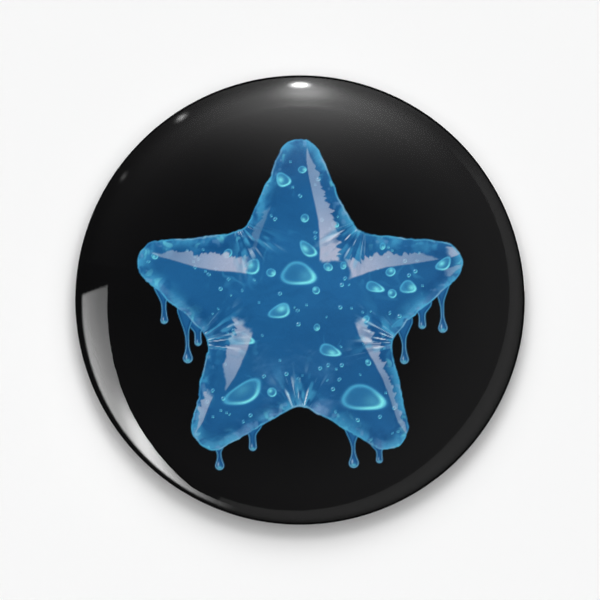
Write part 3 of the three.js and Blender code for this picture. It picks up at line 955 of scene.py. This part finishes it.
def card(name, clock, inner, outer, glow, away=NEAR, steps=(60, 40)):
    """A light card that only mirrors show, placed by where the camera sees it in the film: from one clock
    angle to another, in degrees clockwise from the top, and between two shares of the radius, which may
    change with the angle. Glow gives its brightness at an angle and a share."""
    points, faces, glows = [], [], []
    distance = away + CARD_GAP * len(cards)
    for i in range(steps[0] + 1):
        angle = clock[0] + (clock[1] - clock[0]) * i / steps[0]
        low, high = (edge(angle) if callable(edge) else edge for edge in (inner, outer))
        for j in range(steps[1] + 1):
            reach = low + (high - low) * j / steps[1]
            radius, depth, mirrored = (np.interp(reach, FILM_VIEWS[0], row) for row in FILM_VIEWS[1:])
            a, polar = math.radians(angle), math.radians(mirrored)
            out, ahead = radius + math.sin(polar) * distance, depth - math.cos(polar) * distance
            points.append((out * math.sin(a), ahead, out * math.cos(a)))
            glows.append(glow(angle, reach))
    row = steps[1] + 1
    for i in range(steps[0]):
        for j in range(steps[1]):
            faces.append([i * row + j, i * row + j + 1, (i + 1) * row + j + 1, (i + 1) * row + j])
    obj = make(name, points, faces, emission_material(name))
    attribute = obj.data.attributes.new("glow", "FLOAT", "POINT")
    attribute.data.foreach_set("value", np.array(glows, np.float32))
    obj.visible_camera = obj.visible_diffuse = obj.visible_shadow = False
    cards.append(obj)


def hump(value, middle, width):
    """A bell curve: 1 in the middle, and 0.37 at a width from it."""
    return math.exp(-(((value - middle) / width) ** 2))


def top_glow(clock, reach):
    """The overhead soft light: broad and faint on the dome, strong just above the badge."""
    rise = smooth(reach, 0.42, 0.65) / (1 + (max(0.915 - reach, 0) / 0.115) ** 2.1)
    fall = math.exp(-((max(reach - 0.915, 0) / 0.05) ** 1.8))
    wide = 0.14 * hump(clock, 350, 48) if clock > 180 else 0.14 * hump(clock, -10, 48)
    angle = clock - 360 if clock > 180 else clock
    near = 4.3 * hump(angle, 1.5, 6.5) * hump(reach, 0.927, 0.036)
    return near + (1.85 * hump(angle, 4, 26) + wide) * rise * fall


def window_fade(angle):
    """How far the left window has run from its top towards its lower tip, from 0 to 1."""
    return min(max((272 - angle) / 62, 0.0), 1.0)


def window_inner(angle):
    """The left window's inner edge, as a share of the radius."""
    return 0.857 + 0.105 * window_fade(angle) ** 1.6


def window_outer(angle):
    """The left window's outer edge, as a share of the radius."""
    return 0.974 + 0.013 * window_fade(angle)


def left_window(clock, reach):
    """The tall window on the left, with a slanting top. Its lower half is brightest at the inner edge."""
    top = smooth(274.7 - 3 * (reach - 0.855) / 0.11 - clock, 0, 0.7)
    body = 3.1 + 1.5 * smooth(reach, 0.88, 0.95)
    body *= 0.74 + 0.36 * smooth(274 - clock, 0, 22)
    hot = 8.6 * hump(clock, 229.5, 9.5) * (1 - smooth(reach - window_inner(clock), 0.02, 0.07))
    edge = smooth(window_outer(clock) - reach, 0, 0.014)
    return (body * smooth(clock, 196, 222) + hot) * edge * top


def right_window(clock, reach):
    """A dim band of light low on the right."""
    body = 0.04 + 0.19 * (1 - smooth(reach, 0.945, 1.0))
    return body * (1 - 0.75 * smooth(reach, 0.974, 0.99)) * smooth(clock, 40, 60)


def room(clock, reach):
    """What little light the dark room gives, more from the right than from the left."""
    side = 0.085 + 0.072 * math.cos(math.radians(clock - 95))
    return side * (0.3 + 0.7 * smooth(reach, 0.45, 0.9)) * (1 - 0.6 * smooth(reach, 0.95, 0.99))


card("room", (0, 360), 0.0, 0.99, room, FAR, (72, 60))
card("top_glow", (-80, 80), 0.42, 0.99, top_glow, FAR / 2, (110, 80))
card("hot_spot", (-5, 5), 0.93, 0.98,
     lambda clock, reach: 38 * hump(clock, 0, 1.9) * hump(reach, 0.956, 0.0092))
card("left_window", (196, 276), window_inner, window_outer, left_window, NEAR, (160, 40))
card("right_window", (42, 202), lambda a: 0.945 - 0.03 * hump(a, 130, 45), 0.99, right_window)
card("glint_high", (323.5, 330.5), 0.95, 0.985,
     lambda clock, reach: 3.6 * hump(clock, 327, 1.3) * hump(reach, 0.967, 0.009))
card("glint_low", (302, 308), 0.94, 0.975,
     lambda clock, reach: 0.8 * hump(clock, 305, 1.2) * hump(reach, 0.957, 0.008))


def sun_light(name, towards, energy, spread):
    """A soft light from far away that the film doesn't mirror."""
    data = bpy.data.lights.new(name, "SUN")
    data.energy, data.angle = energy, math.radians(spread)
    obj = bpy.data.objects.new(name, data)
    bpy.context.collection.objects.link(obj)
    obj.rotation_euler = Vector(towards).to_track_quat("Z", "Y").to_euler()
    obj.visible_glossy = False


sun_light("key", (0.05, -1, 0.668), 1.32, 35)
sun_light("fill", (0.04, -1, 0.304), 2.13, 84)


def only(name, *objects):
    """A collection for a light that shines on some pieces alone."""
    group = bpy.data.collections.new(name)
    for obj in objects:
        group.objects.link(obj)
    return group


METALS = only("metals", front_shell, back_plate, *straps, wire, leg, cap)
FILMS = only("films", film_cover)


def rear_light(name, place, size, brightness, receivers=METALS):
    """A soft box behind the badge, which lights only some of its pieces."""
    data = bpy.data.lights.new(name, "AREA")
    data.shape, data.size, data.size_y = "RECTANGLE", size[0] * MM, size[1] * MM
    data.energy = brightness * 4 * data.size * data.size_y
    obj = bpy.data.objects.new(name, data)
    bpy.context.collection.objects.link(obj)
    obj.location = Vector(place) * MM
    obj.rotation_euler = Vector(place).to_track_quat("Z", "Y").to_euler()
    obj.visible_camera = False
    obj.light_linking.receiver_collection = receivers


rear_light("rear_top", (0, 330, 420), (720, 420), 1.9)
rear_light("rear_left", (540, 240, 60), (280, 620), 1.5)
rear_light("rear_right", (-560, 200, 80), (260, 520), 1.0)
rear_light("rear_low", (60, 380, -420), (620, 260), 0.6)
rear_light("rear_back", (-120, 600, 40), (420, 520), 0.8)
rear_light("hem_back", (30, 420, 60), (300, 110), 1.2, FILMS)


def stage_plane(name, centre, across, up, material):
    """A rectangle of the stage, from its centre and half of each side."""
    centre, across, up = Vector(centre), Vector(across), Vector(up)
    corners = [centre - across - up, centre + across - up, centre + across + up, centre - across + up]
    obj = make(name, corners, [[0, 1, 2, 3]], material)
    return obj


def wall_material():
    """A pale wall that only its front shows."""
    g = Graph("wall")
    face = g.node("BsdfDiffuse", {"Color": (0.93, 0.93, 0.93, 1)}).outputs[0]
    gone = g.node("BsdfTransparent").outputs[0]
    behind = g.node("NewGeometry").outputs["Backfacing"]
    return g.finish(g.node("MixShader", {0: behind, 1: face, 2: gone}).outputs[0])


def floor_material():
    """A pale paper floor, faintly lit from below as on a light table."""
    g = Graph("floor")
    face = g.node("BsdfDiffuse", {"Color": (0.55, 0.55, 0.55, 1)}).outputs[0]
    glow = g.node("Emission", {"Color": (1, 1, 1, 1), "Strength": 0.6}).outputs[0]
    return g.finish(g.node("AddShader", {0: face, 1: glow}).outputs[0])


WALL_GAP, FLOOR_Z = 1.5, -62.0
RING_INSIDE, RING_OUTSIDE = 0.2, 1.03  # the unseen ring round the rim, which widens the shadow on the wall

wall_y = HALF_DEPTH + WALL_GAP
wall = stage_plane("wall", (0, wall_y, 0), (1500, 0, 0), (0, 0, 1500), wall_material())
wall.visible_shadow = wall.visible_glossy = wall.visible_diffuse = wall.visible_transmission = False
ring_outline = [(BADGE_R - RING_INSIDE, SHOULDER_Y), (BADGE_R + RING_OUTSIDE, SHOULDER_Y)]
shadow_ring = make("shadow_ring", *lathe_mesh(ring_outline), ink)
shadow_ring.visible_camera = shadow_ring.visible_diffuse = shadow_ring.visible_glossy = False
floor = stage_plane("floor", (0, 0, FLOOR_Z), (3000, 0, 0), (0, 3000, 0), floor_material())
floor.visible_shadow = floor.visible_glossy = floor.visible_diffuse = False


def pale_world():
    """A pale backdrop for the camera, and a dim room for everything else."""
    world = bpy.data.worlds.new("room")
    world.use_nodes = True
    nodes, links = world.node_tree.nodes, world.node_tree.links
    nodes.clear()
    backdrop, dim = nodes.new("ShaderNodeBackground"), nodes.new("ShaderNodeBackground")
    backdrop.inputs["Color"].default_value = (0.94, 0.94, 0.94, 1)
    dim.inputs["Color"].default_value = (1, 1, 1, 1)
    dim.inputs["Strength"].default_value = 0.012
    ray, mixed = nodes.new("ShaderNodeLightPath"), nodes.new("ShaderNodeMixShader")
    links.new(ray.outputs["Is Camera Ray"], mixed.inputs[0])
    links.new(dim.outputs[0], mixed.inputs[1])
    links.new(backdrop.outputs[0], mixed.inputs[2])
    links.new(mixed.outputs[0], nodes.new("ShaderNodeOutputWorld").inputs[0])
    return world


bpy.context.scene.world = pale_world()
bpy.context.scene.view_settings.view_transform = "Standard"
